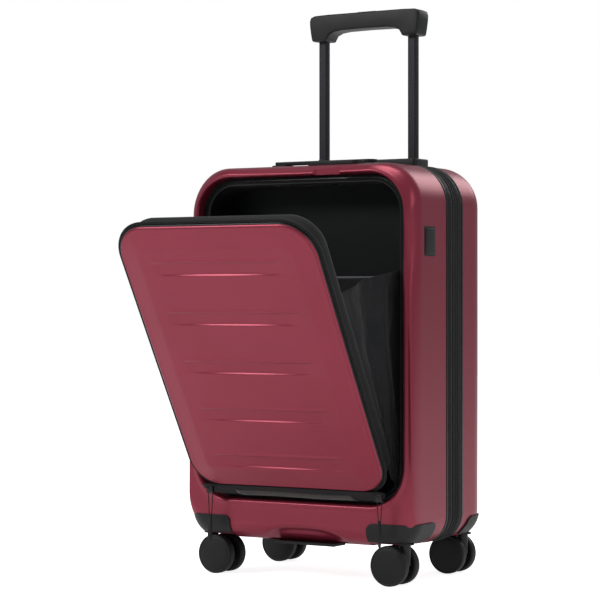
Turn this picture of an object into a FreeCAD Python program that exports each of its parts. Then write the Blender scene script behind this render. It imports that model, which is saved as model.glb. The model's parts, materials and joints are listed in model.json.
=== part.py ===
import FreeCAD, Part
import math
import os

# Hardshell carry-on suitcase with four double casters and a flip-down front lid.
# Millimetres. X to the right, front face towards -Y, +Z up, origin on the floor
# under the middle of the case.

V = FreeCAD.Vector

# Driving sizes of the case
case_width = 350.0
case_height = 550.0
case_depth = 220.0
shell_bottom = 50.0
shell_wall = 2.5
corner_top = 55.0
corner_bottom = 38.0
front_round = 25.0
back_round = 36.0
gap = 0.3

# Depth stations, front to back
front_plane = -case_depth / 2 + 6
front_shell_back = -14.0
band_back = 34.0
rear_plane = case_depth / 2
parting = -2.0
trim_depth = 6.0
trim_proud = 0.8

# Main zip and expander zip sliders
sliders_meet_x = 60.0
expander_slider_z = 200.0

# Front compartment
pocket_half = 159.0
pocket_bottom = 104.0
pocket_top = 536.0
pocket_corner = 50.0
pocket_depth = 16.0
hole_margin = 8.0
hole_top_margin = 6.0
lining_wall = 1.2
lining_back = -30.0
sleeve_top = 400.0
sleeve_front = -77.0
sleeve_thick = 3.0

# Lid, drawn closed and then turned open about its hinge
lid_half = 147.0
lid_bottom = 134.3
lid_length = 392.0
lid_corner_top = 45.0
lid_corner_bottom = 38.0
lid_face = -103.7
lid_edge = 8.0
lid_wall = 2.5
rim_depth = 16.0
rim_inset = 2.0
rim_wall = 4.0
lid_open_deg = 30.0
lid_axis_y = -88.6
lid_axis_z = 87.2
groove_half = 102.5
groove_height = 18.0
groove_pitch = 72.6
groove_first = 34.3
groove_deep = 1.5
groove_count = 5

# Trolley
tube_x = 71.5
tube_y = 85.0
tube_wall = 1.2
inner_w, inner_d = 14.0, 10.0
middle_w, middle_d = inner_w + 2 * (gap + tube_wall), inner_d + 2 * (gap + tube_wall)
outer_w, outer_d = middle_w + 2 * (gap + tube_wall), middle_d + 2 * (gap + tube_wall)
bezel_half = 87.0
bezel_front, bezel_back = 62.0, 100.0
bezel_rise = 15.0
bezel_drop = 16.0
extension = 170.0
grip_half = 88.0
grip_depth = 30.0
grip_bar = 24.0
grip_leg = 13.0
grip_leg_w = 22.0
button_half, button_depth, button_travel = 15.0, 12.0, 4.0

# Casters
wheel_radius = 26.5
well_least = 3.0
wheel_width = 12.0
wheel_gap = 0.7
fork_half = 7.5
trail = 15.0
swivel_x = 150.0
swivel_y = 80.0
stem_radius = 5.0
neck_radius = 7.5
axle_radius = 2.5
plate_clear = 3.0
plate_thick = 4.0
guard_top = 80.0
guard_skin = 2.0
sweep_margin = 46.0

# Top carry handle
handle_y = -30.0
handle_half = 78.0
handle_depth = 20.0
handle_thick = 4.2
handle_lift = 14.0
leg_x = 66.5
leg_w, leg_d = 5.0, 12.0
mount_rise = 4.5
mount_len = 24.0

# Lock on the front shell's top
lock_x0, lock_x1 = 0.0, 76.0
lock_y0, lock_y1 = -80.0, -53.0
lock_rise = 6.0
dial_radius = 7.0
dial_width = 5.0
dial_first = 40.0
dial_pitch = 10.0
dial_axis_drop = 6.0
dial_pin = 1.2
lock_button_x = 16.0
lock_button_r = 4.5
lock_button_rise = 2.0

# Charging socket on the right side
socket_y, socket_z = -59.0, 447.5
socket_w, socket_h = 30.0, 39.0
flap_thick = 2.9

# Lid zip sliders and their cord pulls
slider_x = (-124.5, 137.0)
slider_z = 114.5
pull_y = -124.1
cord_radius = 0.6
cord_drop = (30.5, 24.5)
cord_spread = 3.6
cord_bend = 1.3
pull_length = (36.0, 35.0)
pull_radius = 3.6
pull_bore = 2.6

os.makedirs("parts", exist_ok=True)


def save(name, *solids):
    shape = solids[0] if len(solids) == 1 else Part.makeCompound(list(solids))
    shape.exportStep("parts/" + name + ".step")


def box(x0, x1, y0, y1, z0, z1):
    return Part.makeBox(x1 - x0, y1 - y0, z1 - z0, V(x0, y0, z0))


def cylinder(radius, length, start, direction):
    return Part.makeCylinder(radius, length, start, direction)


def mirror_x(shape):
    return shape.mirror(V(0, 0, 0), V(1, 0, 0))


def merged(*solids):
    return solids[0].fuse(list(solids[1:])).removeSplitter()


def rounded_prism(half, z0, z1, r_top, r_bottom, y0, y1):
    """A rounded rectangle in the XZ plane, drawn out from y0 to y1."""
    k = math.sqrt(0.5)
    t, b = r_top, r_bottom
    runs = [
        ((half - b, z0), (half - b + b * k, z0 + b - b * k), (half, z0 + b)),
        ((half, z1 - t), (half - t + t * k, z1 - t + t * k), (half - t, z1)),
        ((-half + t, z1), (-half + t - t * k, z1 - t + t * k), (-half, z1 - t)),
        ((-half, z0 + b), (-half + b - b * k, z0 + b - b * k), (-half + b, z0)),
    ]
    edges = []
    for i, (a, m, c) in enumerate(runs):
        a, m, c = [V(p[0], y0, p[1]) for p in (a, m, c)]
        edges.append(Part.Arc(a, m, c).toShape())
        nxt = runs[(i + 1) % 4][0]
        edges.append(Part.LineSegment(c, V(nxt[0], y0, nxt[1])).toShape())
    return Part.Face(Part.Wire(edges)).extrude(V(0, y1 - y0, 0))


def case_prism(inset, y0, y1):
    return rounded_prism(case_width / 2 - inset, shell_bottom + inset, case_height - inset,
                         corner_top - inset, corner_bottom - inset, y0, y1)


def case_band(inset_out, inset_in, y0, y1):
    return case_prism(inset_out, y0, y1).cut(case_prism(inset_in, y0 - 1, y1 + 1))


def round_face(shape, y, radius):
    edges = [e for e in shape.Edges if all(abs(v.Point.y - y) < 1e-4 for v in e.Vertexes)]
    return shape.makeFillet(radius, edges)


def pocket_prism(inset, y0, y1, extra_top=0.0):
    return rounded_prism(pocket_half - inset, pocket_bottom + inset, pocket_top - inset + extra_top,
                         pocket_corner - inset, pocket_corner - inset, y0, y1)


def lid_prism(inset, y0, y1):
    return rounded_prism(lid_half - inset, lid_bottom + inset, lid_bottom + lid_length - inset,
                         lid_corner_top - inset, lid_corner_bottom - inset, y0, y1)


def opened(shape):
    turned = shape.copy()
    turned.rotate(V(0, lid_axis_y, lid_axis_z), V(1, 0, 0), lid_open_deg)
    return turned


# Shell solids before anything is cut from them
ledge = front_plane + pocket_depth
plate_bottom = max(2 * wheel_radius + plate_clear, shell_bottom + well_least)
plate_top = plate_bottom + plate_thick
top_inside = case_height - shell_wall


def front_outer(inset):
    return round_face(case_prism(inset, front_plane + inset, front_shell_back), front_plane + inset,
                      front_round - inset)


def rear_outer(inset):
    return round_face(case_prism(inset, band_back, rear_plane - inset), rear_plane - inset,
                      back_round - inset)


def well_box(side, half, low, high, grow=0.0):
    """The corner space a caster sweeps. half is -1 at the front and 1 at the back."""
    x0 = swivel_x - sweep_margin - grow
    y0 = swivel_y - sweep_margin - grow
    solid = box(x0, case_width / 2 + 9, y0, case_depth / 2 + 9, low, high)
    if half < 0:
        solid = solid.mirror(V(0, 0, 0), V(0, 1, 0))
    return solid if side > 0 else mirror_x(solid)


def cut_wells(shell, half):
    for side in (-1, 1):
        shell = shell.cut(well_box(side, half, shell_bottom - 9, plate_top))
        hole = cylinder(stem_radius + gap, 20, V(side * swivel_x, half * swivel_y, shell_bottom), V(0, 0, 1))
        shell = shell.cut(hole)
    return shell


def corner_guard(side, half):
    """Moulded corner: a plate over the caster, a skirt outside the shell and a wall inside it."""
    swept = front_outer if half < 0 else rear_outer
    low, high = plate_bottom, guard_top
    skirt = swept(-guard_skin).common(well_box(side, half, low, high))
    skirt = skirt.cut(swept(0).common(well_box(side, half, plate_top, high + 1, 5)))
    inner = well_box(side, half, shell_bottom + shell_wall + gap, plate_top, shell_wall)
    inner = inner.cut(well_box(side, half, shell_bottom, plate_top + 1, 0))
    inner = inner.common(swept(shell_wall + gap))
    if half < 0:
        inner = inner.common(box(-200, 200, ledge + shell_wall + gap, 0, 0, 100))
    guard = merged(skirt, inner)
    hole = cylinder(stem_radius + gap, 30, V(side * swivel_x, half * swivel_y, low - 5), V(0, 0, 1))
    return guard.cut(hole)


# Front shell
def front_shell():
    shell = front_outer(0)
    shell = shell.cut(case_prism(shell_wall, ledge + shell_wall, front_shell_back + 1))
    shell = shell.cut(box(-swivel_x, swivel_x, ledge - 7, ledge + shell_wall + 1,
                          shell_bottom + 12, pocket_bottom - 6))
    shell = shell.cut(pocket_prism(0, front_plane - 2, ledge))
    shell = shell.cut(pocket_prism(hole_margin, ledge - 1, ledge + shell_wall + 1,
                                   hole_margin - hole_top_margin))
    shell = shell.cut(box(23, 64, front_plane - 2, front_plane + 10, pocket_top - 3, case_height + 1))
    scoop = cylinder(90, 20, V(6, front_plane - 1, shell_bottom - 75), V(0, 1, 0))
    shell = shell.cut(scoop.common(box(-60, 72, front_plane - 1, front_plane + 5,
                                       shell_bottom - 1, shell_bottom + 20)))
    shell = shell.cut(box(case_width / 2 - shell_wall - 1, case_width / 2 + 1,
                          socket_y - socket_w / 2, socket_y + socket_w / 2,
                          socket_z - socket_h / 2, socket_z + socket_h / 2))
    for s in (-1, 1):
        shell = shell.cut(box(s * leg_x - leg_w / 2 - gap, s * leg_x + leg_w / 2 + gap,
                              handle_y - leg_d / 2 - gap, handle_y + leg_d / 2 + gap,
                              top_inside - 1, case_height + 1))
    pan = lock_pan()
    shell = shell.cut(box(pan[0] - gap, pan[1] + gap, pan[2] - gap, pan[3] + gap,
                          top_inside - 1, case_height + 1))
    return cut_wells(shell, -1)


def lock_pan():
    last = dial_first + 2 * dial_pitch
    middle = (lock_y0 + lock_y1) / 2
    reach = dial_radius + 2
    return (dial_first - dial_pitch, last + dial_pitch * 0.7, middle - reach, middle + reach)


def scuff_plate():
    return box(-40, 52, front_plane + 8, front_plane + 38, shell_bottom - 3.5, shell_bottom)


# Zip band and trims
def zip_band():
    save("front_trim", case_band(-trim_proud, 3.5, front_shell_back, front_shell_back + trim_depth))
    save("main_zip_front", case_band(0.5, 3, front_shell_back + trim_depth, parting - gap))
    fold = band_back - trim_depth - 6
    save("main_zip_rear", case_band(0.5, 3, parting + gap, 4))
    save("expansion_gusset", case_band(-gap, 3, 4, fold))
    save("expander_zip", case_band(0.5, 3, fold, band_back - trim_depth))
    save("rear_trim", case_band(-trim_proud, 3.5, band_back - trim_depth, band_back))
    save("side_hinge_strip", box(-case_width / 2 + 3.5 + gap, -case_width / 2 + 4.8,
                                 front_shell_back + 2, band_back - 8,
                                 shell_bottom + 60, case_height - 60))


def zip_slider(x, y, z, run, up):
    """A slider block with its pull tab: run is along the zip, up is out of the surface."""
    side = up.cross(run)
    block = Part.makeBox(13, 9, 3.6, V(-6.5, -4.5, 0))
    tab = Part.makeBox(30, 7, 2.2, V(4.5, -3.5, 1.6))
    solid = merged(block, tab)
    place = FreeCAD.Matrix(run.x, side.x, up.x, x, run.y, side.y, up.y, y, run.z, side.z, up.z, z)
    return solid.transformGeometry(place)


def zip_sliders():
    top = case_height + gap
    x = sliders_meet_x
    save("main_slider_left", zip_slider(x - 7, parting, top, V(-1, 0, 0), V(0, 0, 1)))
    save("main_slider_right", zip_slider(x + 7, parting, top, V(1, 0, 0), V(0, 0, 1)))
    zip_y = band_back - trim_depth - 5
    save("expander_slider", zip_slider(-case_width / 2 - gap, zip_y, expander_slider_z,
                                       V(0, 0, -1), V(-1, 0, 0)))


# Front compartment
def compartment():
    hole = (hole_margin, hole_margin - hole_top_margin)
    tub = pocket_prism(hole[0] + gap, ledge, lining_back, hole[1])
    tub = tub.cut(pocket_prism(hole[0] + gap + lining_wall, ledge - 1, lining_back - lining_wall, hole[1]))
    save("compartment_lining", tub)
    flange = pocket_prism(2, ledge - 2, ledge).cut(
        pocket_prism(hole[0] + 1.5, ledge - 3, ledge + 1, hole[1]))
    save("opening_flange", flange)
    coil = pocket_prism(3.5, ledge - 4, ledge - 2).cut(pocket_prism(7, ledge - 5, ledge))
    save("opening_zip", coil)
    inner = hole[0] + gap + lining_wall + gap
    sleeve = pocket_prism(inner, sleeve_front, sleeve_front + sleeve_thick, hole[1])
    sleeve = sleeve.common(box(-200, 200, -200, 200, 0, sleeve_top))
    binding = box(-pocket_half + inner + 1, pocket_half - inner - 1, sleeve_front - 1,
                  sleeve_front + sleeve_thick + 1, sleeve_top, sleeve_top + 4)
    save("laptop_sleeve", sleeve, binding)
    save("divider_panel", case_prism(shell_wall + gap, front_shell_back - 3, front_shell_back - 1))


def opened_point(x, y, z):
    turn = math.radians(lid_open_deg)
    dy, dz = y - lid_axis_y, z - lid_axis_z
    return V(x, lid_axis_y + dy * math.cos(turn) - dz * math.sin(turn),
             lid_axis_z + dy * math.sin(turn) + dz * math.cos(turn))


def side_gussets():
    x0 = pocket_half - hole_margin - gap - lining_wall - gap - 1.6
    behind_rim = lid_face + lid_edge + rim_depth + 4.7
    low = V(x0, ledge - 4.5, pocket_bottom + 36.5)
    back = V(x0, ledge + 2, sleeve_top + 10)
    front = opened_point(x0, behind_rim, sleeve_top + 11)
    low_front = opened_point(x0, behind_rim, lid_bottom + 6.1)
    sheet = Part.Face(Part.makePolygon([low, back, front, low_front, low])).extrude(V(1.6, 0, 0))
    save("side_gussets", sheet, mirror_x(sheet))


def lid_hinge_strip():
    a = V(-118, ledge - 4.3, pocket_bottom + 6)
    b = V(118, ledge - 4.3, pocket_bottom + 6)
    c = opened_point(140, lid_face + 5, lid_bottom - 0.55)
    d = V(-c.x, c.y, c.z)
    normal = (b - a).cross(d - a)
    normal.normalize()
    save("lid_hinge_strip", Part.Face(Part.makePolygon([a, b, c, d, a])).extrude(normal * 1.6))


# Lid
def lid():
    edge_back = lid_face + lid_edge
    panel = round_face(lid_prism(0, lid_face, edge_back), lid_face, 5)
    panel = panel.cut(lid_prism(lid_wall, lid_face + lid_wall, edge_back + 1))
    for i in range(groove_count):
        z = lid_bottom + groove_first + i * groove_pitch
        panel = panel.cut(box(-groove_half, groove_half, lid_face - 1, lid_face + groove_deep,
                              z, z + groove_height))
    rim_back = edge_back + rim_depth
    rim = lid_prism(rim_inset, edge_back, rim_back).cut(
        lid_prism(rim_inset + rim_wall, edge_back - 1, rim_back + 1))
    lining = lid_prism(rim_inset + rim_wall + gap, edge_back + 0.3, edge_back + 1.5)
    middle = (edge_back + rim_back) / 2
    coil = lid_prism(0.2, middle - 2, middle + 2).cut(
        lid_prism(rim_inset - gap, middle - 3, middle + 3))
    save("lid_panel", opened(panel))
    save("lid_rim", opened(rim))
    save("lid_lining", opened(lining))
    save("lid_zip", opened(coil))


# Lid zip sliders, each with a cord loop that carries a tube pull
def cord_loop(x, drop):
    """The cord runs down, round a small bend inside the pull, and up again."""
    r = cord_bend
    top = slider_z - 3
    centre = V(x, pull_y, top - drop - 6)
    reach = math.hypot(cord_spread, top - centre.z)
    turn = math.atan2(cord_spread, top - centre.z) + math.acos(r / reach)
    right_touch = V(x + r * math.sin(turn), pull_y, centre.z + r * math.cos(turn))
    left_touch = V(x - r * math.sin(turn), pull_y, right_touch.z)
    left_top = V(x - cord_spread, pull_y, top)
    right_top = V(x + cord_spread, pull_y, top)
    bottom = V(x, pull_y, centre.z - r)
    path = Part.Wire([Part.LineSegment(left_top, left_touch).toShape(),
                      Part.Arc(left_touch, bottom, right_touch).toShape(),
                      Part.LineSegment(right_touch, right_top).toShape()])
    circle = Part.Wire([Part.makeCircle(cord_radius, left_top, left_touch - left_top)])
    print("cord radius", r, "length", round(path.Length, 1))
    return path.makePipeShell([circle], True, False)


def pull_tube(x, drop, length):
    top = slider_z - 3 - drop
    body = Part.makeCone(pull_radius - 0.5, pull_radius, length, V(x, pull_y, top - length), V(0, 0, 1))
    bore = cylinder(pull_bore, 14, V(x, pull_y, top - 13), V(0, 0, 1))
    return body.cut(bore)


def lid_pulls():
    blocks = []
    for x in slider_x:
        block = box(x - 4.5, x + 4.5, pull_y - 2.5, pull_y + 2.7, slider_z - 3, slider_z + 6)
        bridge = box(x - 6, x + 6, pull_y - 1.5, pull_y + 1.5, slider_z - 3, slider_z - 0.5)
        blocks.append(merged(block, bridge))
    save("lid_sliders", *blocks)
    pairs = list(zip(slider_x, cord_drop, pull_length))
    save("pull_cords", *[cord_loop(x, drop) for x, drop, length in pairs])
    save("pull_tubes", *[pull_tube(x, drop, length) for x, drop, length in pairs])


# Rear shell with its lining, straps and trolley housing
def bezel_boxes(grow):
    h = bezel_half + grow
    y1 = bezel_back + grow
    rise = case_height + bezel_rise
    front = box(-h, h, bezel_front - grow, y1, top_inside + 0.5 - grow, rise)
    back = box(-h, h, outer_front() - gap - grow, y1, case_height - bezel_drop - grow, rise)
    return merged(front, back)


def outer_front():
    return tube_y - outer_d / 2


def rear_shell():
    shell = rear_outer(0).cut(rear_outer(shell_wall))
    shell = shell.cut(bezel_boxes(0))
    return cut_wells(shell, 1)


def tube(x, w, d, wall, z0, z1):
    y = tube_y
    solid = box(x - w / 2, x + w / 2, y - d / 2, y + d / 2, z0, z1)
    solid = solid.makeFillet(3, [e for e in solid.Edges if abs(e.tangentAt(0).z) > 0.9])
    hollow = box(x - w / 2 + wall, x + w / 2 - wall, y - d / 2 + wall, y + d / 2 - wall, z0 - 1, z1 + 1)
    hollow = hollow.makeFillet(3 - wall, [e for e in hollow.Edges if abs(e.tangentAt(0).z) > 0.9])
    return solid.cut(hollow)


bezel_top = case_height + bezel_rise
tube_foot = shell_bottom + 16
lining_flat = outer_front() - 1.8


def trolley():
    bezel = bezel_boxes(0)
    bezel = bezel.makeFillet(5, [e for e in bezel.Edges if abs(e.tangentAt(e.FirstParameter).z) > 0.9
                                 and abs(e.Vertexes[0].X) > bezel_half - 1
                                 and max(v.Z for v in e.Vertexes) > bezel_top - 1
                                 and abs(e.Vertexes[0].Y - bezel_front) < 1])
    for s in (-1, 1):
        x = s * tube_x
        bezel = bezel.cut(box(x - middle_w / 2 - gap, x + middle_w / 2 + gap, tube_y - middle_d / 2 - gap,
                              tube_y + middle_d / 2 + gap, 500, bezel_top + 1))
    save("trolley_bezel", bezel)
    outer_top = case_height - bezel_drop
    sides = (-tube_x, tube_x)
    save("outer_tubes", *[tube(x, outer_w, outer_d, tube_wall, tube_foot, outer_top) for x in sides])
    middle = [tube(x, middle_w, middle_d, tube_wall, tube_foot + 5, bezel_top - 1) for x in sides]
    save("middle_tubes", *middle)
    grip_low = bezel_top + extension
    save("inner_tubes", *[tube(x, inner_w, inner_d, 1.0, tube_foot + 179, grip_low + 2) for x in sides])
    foot = box(-tube_x - 18, tube_x + 18, lining_flat + 1.6, tube_y + outer_d / 2 - 0.5,
               tube_foot - 7, tube_foot)
    toe = box(-tube_x - 18, tube_x + 18, lining_flat + 1.6, lining_flat + 3.4,
              shell_bottom + shell_wall + 0.5, tube_foot - 7)
    save("trolley_foot", merged(foot, toe))


def grip():
    low = bezel_top + extension
    bar_low = low + grip_leg
    top = bar_low + grip_bar
    half_d = grip_depth / 2
    solid = box(-grip_half, grip_half, tube_y - half_d, tube_y + half_d, bar_low, top)
    solid = solid.makeFillet(7, [e for e in solid.Edges if abs(e.tangentAt(0).x) > 0.9])
    for s in (-1, 1):
        x = s * tube_x
        leg = box(x - grip_leg_w / 2, x + grip_leg_w / 2, tube_y - half_d + 2.5, tube_y + half_d - 2.5,
                  low, bar_low + 8)
        solid = merged(solid, leg)
    for s in (-1, 1):
        x = s * tube_x
        solid = solid.cut(box(x - inner_w / 2 - gap, x + inner_w / 2 + gap, tube_y - inner_d / 2 - gap,
                              tube_y + inner_d / 2 + gap, low - 1, low + 2 + gap))
    slot = box(-button_half - gap, button_half + gap, tube_y - button_depth / 2 - gap,
               tube_y + button_depth / 2 + gap, top - 6 - button_travel, top + 1)
    save("grip", solid.cut(slot))
    button = box(-button_half, button_half, tube_y - button_depth / 2, tube_y + button_depth / 2,
                 top - 6 + gap, top + 1.5)
    save("grip_button", button.makeFillet(1.4, [e for e in button.Edges if all(
        v.Z > top for v in e.Vertexes)]))


def rear_inside():
    half = case_width / 2 - shell_wall - gap
    low = plate_top + 1.5
    high = case_height - shell_wall - gap
    tub = rounded_prism(half, low, high, corner_top - 3, corner_bottom - 3, band_back, lining_flat + 1.2)
    tub = tub.cut(rounded_prism(half - lining_wall, low + lining_wall, high - lining_wall,
                                corner_top - 4.2, corner_bottom - 4.2, band_back - 1, lining_flat))
    save("rear_lining", tub)
    straps = []
    strap_y = lining_flat - gap
    for z in (210, 390):
        straps.append(box(-half + 2, half - 2, strap_y - 1.8, strap_y, z - 12.5, z + 12.5))
    save("packing_straps", *straps)
    buckle = box(-22, 22, strap_y - 9, strap_y - 2.1, 192, 228)
    save("strap_buckle", buckle.makeFillet(3, [e for e in buckle.Edges if abs(e.tangentAt(0).y) > 0.9]))


# Carry handle, lock and charging socket
def carry_handle():
    low = case_height + mount_rise + gap
    bar = box(-handle_half, handle_half, handle_y - handle_depth / 2, handle_y + handle_depth / 2,
              low, low + handle_thick)
    bar = bar.makeFillet(8, [e for e in bar.Edges if abs(e.tangentAt(0).z) > 0.9])
    foot_top = top_inside - handle_lift - gap
    for s in (-1, 1):
        x = s * leg_x
        front, back = handle_y - leg_d / 2, handle_y + leg_d / 2
        leg = box(x - leg_w / 2, x + leg_w / 2, front, back, foot_top - 2, low + 1)
        foot = box(x - leg_w / 2 - 2, x + leg_w / 2 + 2, handle_y - leg_d / 2, handle_y + leg_d / 2,
                   foot_top - 2, foot_top)
        bar = merged(bar, leg, foot)
    save("carry_handle", bar)
    mounts = []
    for s in (-1, 1):
        x = s * (handle_half + 2 - mount_len / 2)
        pad = box(x - mount_len / 2, x + mount_len / 2, handle_y - 13, handle_y + 13,
                  case_height, case_height + mount_rise)
        pad = pad.makeFillet(5, [e for e in pad.Edges if abs(e.tangentAt(0).z) > 0.9])
        leg = s * leg_x
        mounts.append(pad.cut(box(leg - leg_w / 2 - gap, leg + leg_w / 2 + gap,
                                  handle_y - leg_d / 2 - gap, handle_y + leg_d / 2 + gap,
                                  case_height - 1, case_height + mount_rise + 1)))
    save("handle_mounts", *mounts)


def lock():
    top = case_height + lock_rise
    body = box(lock_x0, lock_x1, lock_y0, lock_y1, case_height, top)
    body = body.makeFillet(6, [e for e in body.Edges if abs(e.tangentAt(0).z) > 0.9])
    pan = lock_pan()
    pan_bottom = top - dial_axis_drop - dial_radius - 3
    body = merged(body, box(pan[0], pan[1], pan[2], pan[3], pan_bottom, case_height + 1))
    middle = (lock_y0 + lock_y1) / 2
    axis_z = top - dial_axis_drop
    for i in range(3):
        x = dial_first + i * dial_pitch
        body = body.cut(box(x - dial_width / 2 - gap, x + dial_width / 2 + gap, middle - dial_radius - gap,
                            middle + dial_radius + gap, axis_z - dial_radius - gap, top + 1))
        dial = cylinder(dial_radius, dial_width, V(x - dial_width / 2, middle, axis_z), V(1, 0, 0))
        bore = cylinder(dial_pin + gap, dial_width + 2, V(x - dial_width / 2 - 1, middle, axis_z), V(1, 0, 0))
        save("lock_dial_" + str(i + 1), dial.cut(bore))
    pin_start = V(dial_first - dial_width / 2 - 2, middle, axis_z)
    pin = cylinder(dial_pin, 2 * dial_pitch + dial_width + 4, pin_start, V(1, 0, 0))
    body = merged(body, pin)
    well = cylinder(lock_button_r + gap, lock_rise, V(lock_button_x, middle, case_height + 1), V(0, 0, 1))
    save("lock_housing", body.cut(well))
    save("lock_button", cylinder(lock_button_r, lock_rise - 1 + lock_button_rise - 2,
                                 V(lock_button_x, middle, case_height + 3), V(0, 0, 1)))


def charging_socket():
    face = case_width / 2
    w, h = socket_w / 2, socket_h / 2
    body = box(face - 12, face - flap_thick - gap, socket_y - w + gap, socket_y + w - gap,
               socket_z - h + gap, socket_z + h - gap)
    flange = box(face - 7, face - shell_wall - gap, socket_y - w - 3, socket_y + w + 3,
                 socket_z - h - 3, socket_z + h + 3)
    body = merged(body, flange.common(box(0, face - shell_wall - gap, -200, 200, 0, 600)))
    recess = face - flap_thick - gap
    body = body.cut(box(recess, face, socket_y - w, socket_y + w, socket_z - h, socket_z + h))
    for z, half in ((socket_z - 8, 6.2), (socket_z + 6, 4.4)):
        body = body.cut(box(face - 11, face, socket_y - half, socket_y + half, z - 1.9, z + 1.9))
    save("socket_housing", body)
    flap = box(face - flap_thick, face + 0.4, socket_y - w + gap, socket_y + w - gap,
               socket_z - h + gap, socket_z + h - gap)
    save("socket_flap", flap.makeFillet(1.2, [e for e in flap.Edges if abs(e.tangentAt(0).x) > 0.9]))


# Casters
def caster(name, side, half):
    centre = V(side * swivel_x, half * swivel_y, 0)
    into = -side
    hub_x = centre.x + into * trail
    neck_length = plate_bottom - gap - wheel_radius
    neck = cylinder(neck_radius, neck_length, V(centre.x, centre.y, wheel_radius), V(0, 0, 1))
    collar_low = 2 * wheel_radius + 0.6
    collar = cylinder(12, plate_bottom - gap - collar_low, V(centre.x, centre.y, collar_low), V(0, 0, 1))
    stem = cylinder(stem_radius, plate_thick + 2, V(centre.x, centre.y, plate_bottom - gap - 1), V(0, 0, 1))
    hub = cylinder(10, 2 * fork_half, V(hub_x, centre.y - fork_half, wheel_radius), V(0, 1, 0))
    arm = box(min(centre.x, hub_x), max(centre.x, hub_x), centre.y - fork_half, centre.y + fork_half,
              wheel_radius - 4, 2 * wheel_radius - 8)
    bore = cylinder(axle_radius + gap, 60, V(hub_x, centre.y - 30, wheel_radius), V(0, 1, 0))
    fork = merged(neck, collar, stem, hub, arm).cut(bore)
    inner = fork_half + wheel_gap
    reach = inner + wheel_width - 3
    axle = cylinder(axle_radius, 2 * reach, V(hub_x, centre.y - reach, wheel_radius), V(0, 1, 0))
    save("caster_fork_" + name, fork, axle)
    for label, s in (("outer", half), ("inner", -half)):
        start = V(hub_x, centre.y + s * inner, wheel_radius)
        wheel = cylinder(wheel_radius, wheel_width, start, V(0, s, 0))
        rims = [e for e in wheel.Edges if abs(e.Length - 2 * math.pi * wheel_radius) < 0.01]
        wheel = wheel.makeFillet(2.5, rims)
        wheel = wheel.cut(cylinder(axle_radius + gap, wheel_width - 3 + gap, start, V(0, s, 0)))
        save("caster_wheel_" + name + "_" + label, wheel)


save("front_shell", front_shell())
save("scuff_plate", scuff_plate())
save("rear_shell", rear_shell())
for label, depth_side in (("front_corner_guards", -1), ("rear_corner_guards", 1)):
    save(label, *[corner_guard(side, depth_side) for side in (-1, 1)])
zip_band()
zip_sliders()
compartment()
side_gussets()
lid_hinge_strip()
lid()
lid_pulls()
trolley()
grip()
rear_inside()
carry_handle()
lock()
charging_socket()
for corner, side, depth_side in (("front_left", -1, -1), ("front_right", 1, -1),
                                 ("rear_left", -1, 1), ("rear_right", 1, 1)):
    caster(corner, side, depth_side)
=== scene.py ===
import json
import math
import bmesh
import bpy
import numpy as np
from mathutils import Matrix, Vector, noise


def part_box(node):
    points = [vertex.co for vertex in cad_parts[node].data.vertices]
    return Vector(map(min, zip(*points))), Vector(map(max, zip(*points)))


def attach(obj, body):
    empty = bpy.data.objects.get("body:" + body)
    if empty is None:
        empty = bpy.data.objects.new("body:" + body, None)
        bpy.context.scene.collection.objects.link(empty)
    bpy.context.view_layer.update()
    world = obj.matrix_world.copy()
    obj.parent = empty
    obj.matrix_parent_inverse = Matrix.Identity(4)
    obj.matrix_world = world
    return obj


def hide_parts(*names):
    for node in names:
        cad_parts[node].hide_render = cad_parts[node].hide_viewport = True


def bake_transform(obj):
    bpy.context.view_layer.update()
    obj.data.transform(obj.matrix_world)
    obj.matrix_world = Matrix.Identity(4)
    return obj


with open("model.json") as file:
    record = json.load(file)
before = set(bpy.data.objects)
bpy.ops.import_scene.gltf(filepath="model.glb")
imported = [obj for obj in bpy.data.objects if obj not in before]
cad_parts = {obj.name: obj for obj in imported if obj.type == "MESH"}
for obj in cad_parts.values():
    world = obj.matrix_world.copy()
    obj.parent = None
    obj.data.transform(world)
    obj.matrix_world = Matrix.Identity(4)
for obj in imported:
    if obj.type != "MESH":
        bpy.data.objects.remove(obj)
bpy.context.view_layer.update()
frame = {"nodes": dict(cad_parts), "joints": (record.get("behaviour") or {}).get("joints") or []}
nodes = frame["nodes"]
mm = 0.001


# shared helpers

def linear(hexColour):
    parts = [int(hexColour[i:i + 2], 16) / 255 for i in (1, 3, 5)]
    return [c / 12.92 if c <= 0.04045 else ((c + 0.055) / 1.055) ** 2.4 for c in parts] + [1.0]


def add(tree, kind, settings=None, links=None):
    made = tree.nodes.new(kind)
    for key, value in (settings or {}).items():
        if isinstance(key, int) or key in made.inputs:
            made.inputs[key].default_value = value
        else:
            setattr(made, key, value)
    for key, source in (links or {}).items():
        tree.links.new(source, made.inputs[key])
    return made


def tinted(tree, source, low, high):
    ramp = add(tree, "ShaderNodeValToRGB", {}, {"Fac": source})
    ramp.color_ramp.elements[0].color = linear(low)
    ramp.color_ramp.elements[1].color = linear(high)
    return ramp.outputs["Color"]


def startMaterial(name):
    material = bpy.data.materials.new(name)
    material.use_nodes = True
    tree = material.node_tree
    tree.nodes.clear()
    place = add(tree, "ShaderNodeTexCoord").outputs["Object"]
    return material, tree, place


def finishMaterial(tree, settings, links):
    shader = add(tree, "ShaderNodeBsdfPrincipled", settings, links)
    add(tree, "ShaderNodeOutputMaterial", {}, {"Surface": shader.outputs["BSDF"]})


def paint(obj, material):
    obj.data.materials.clear()
    obj.data.materials.append(material)


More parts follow.
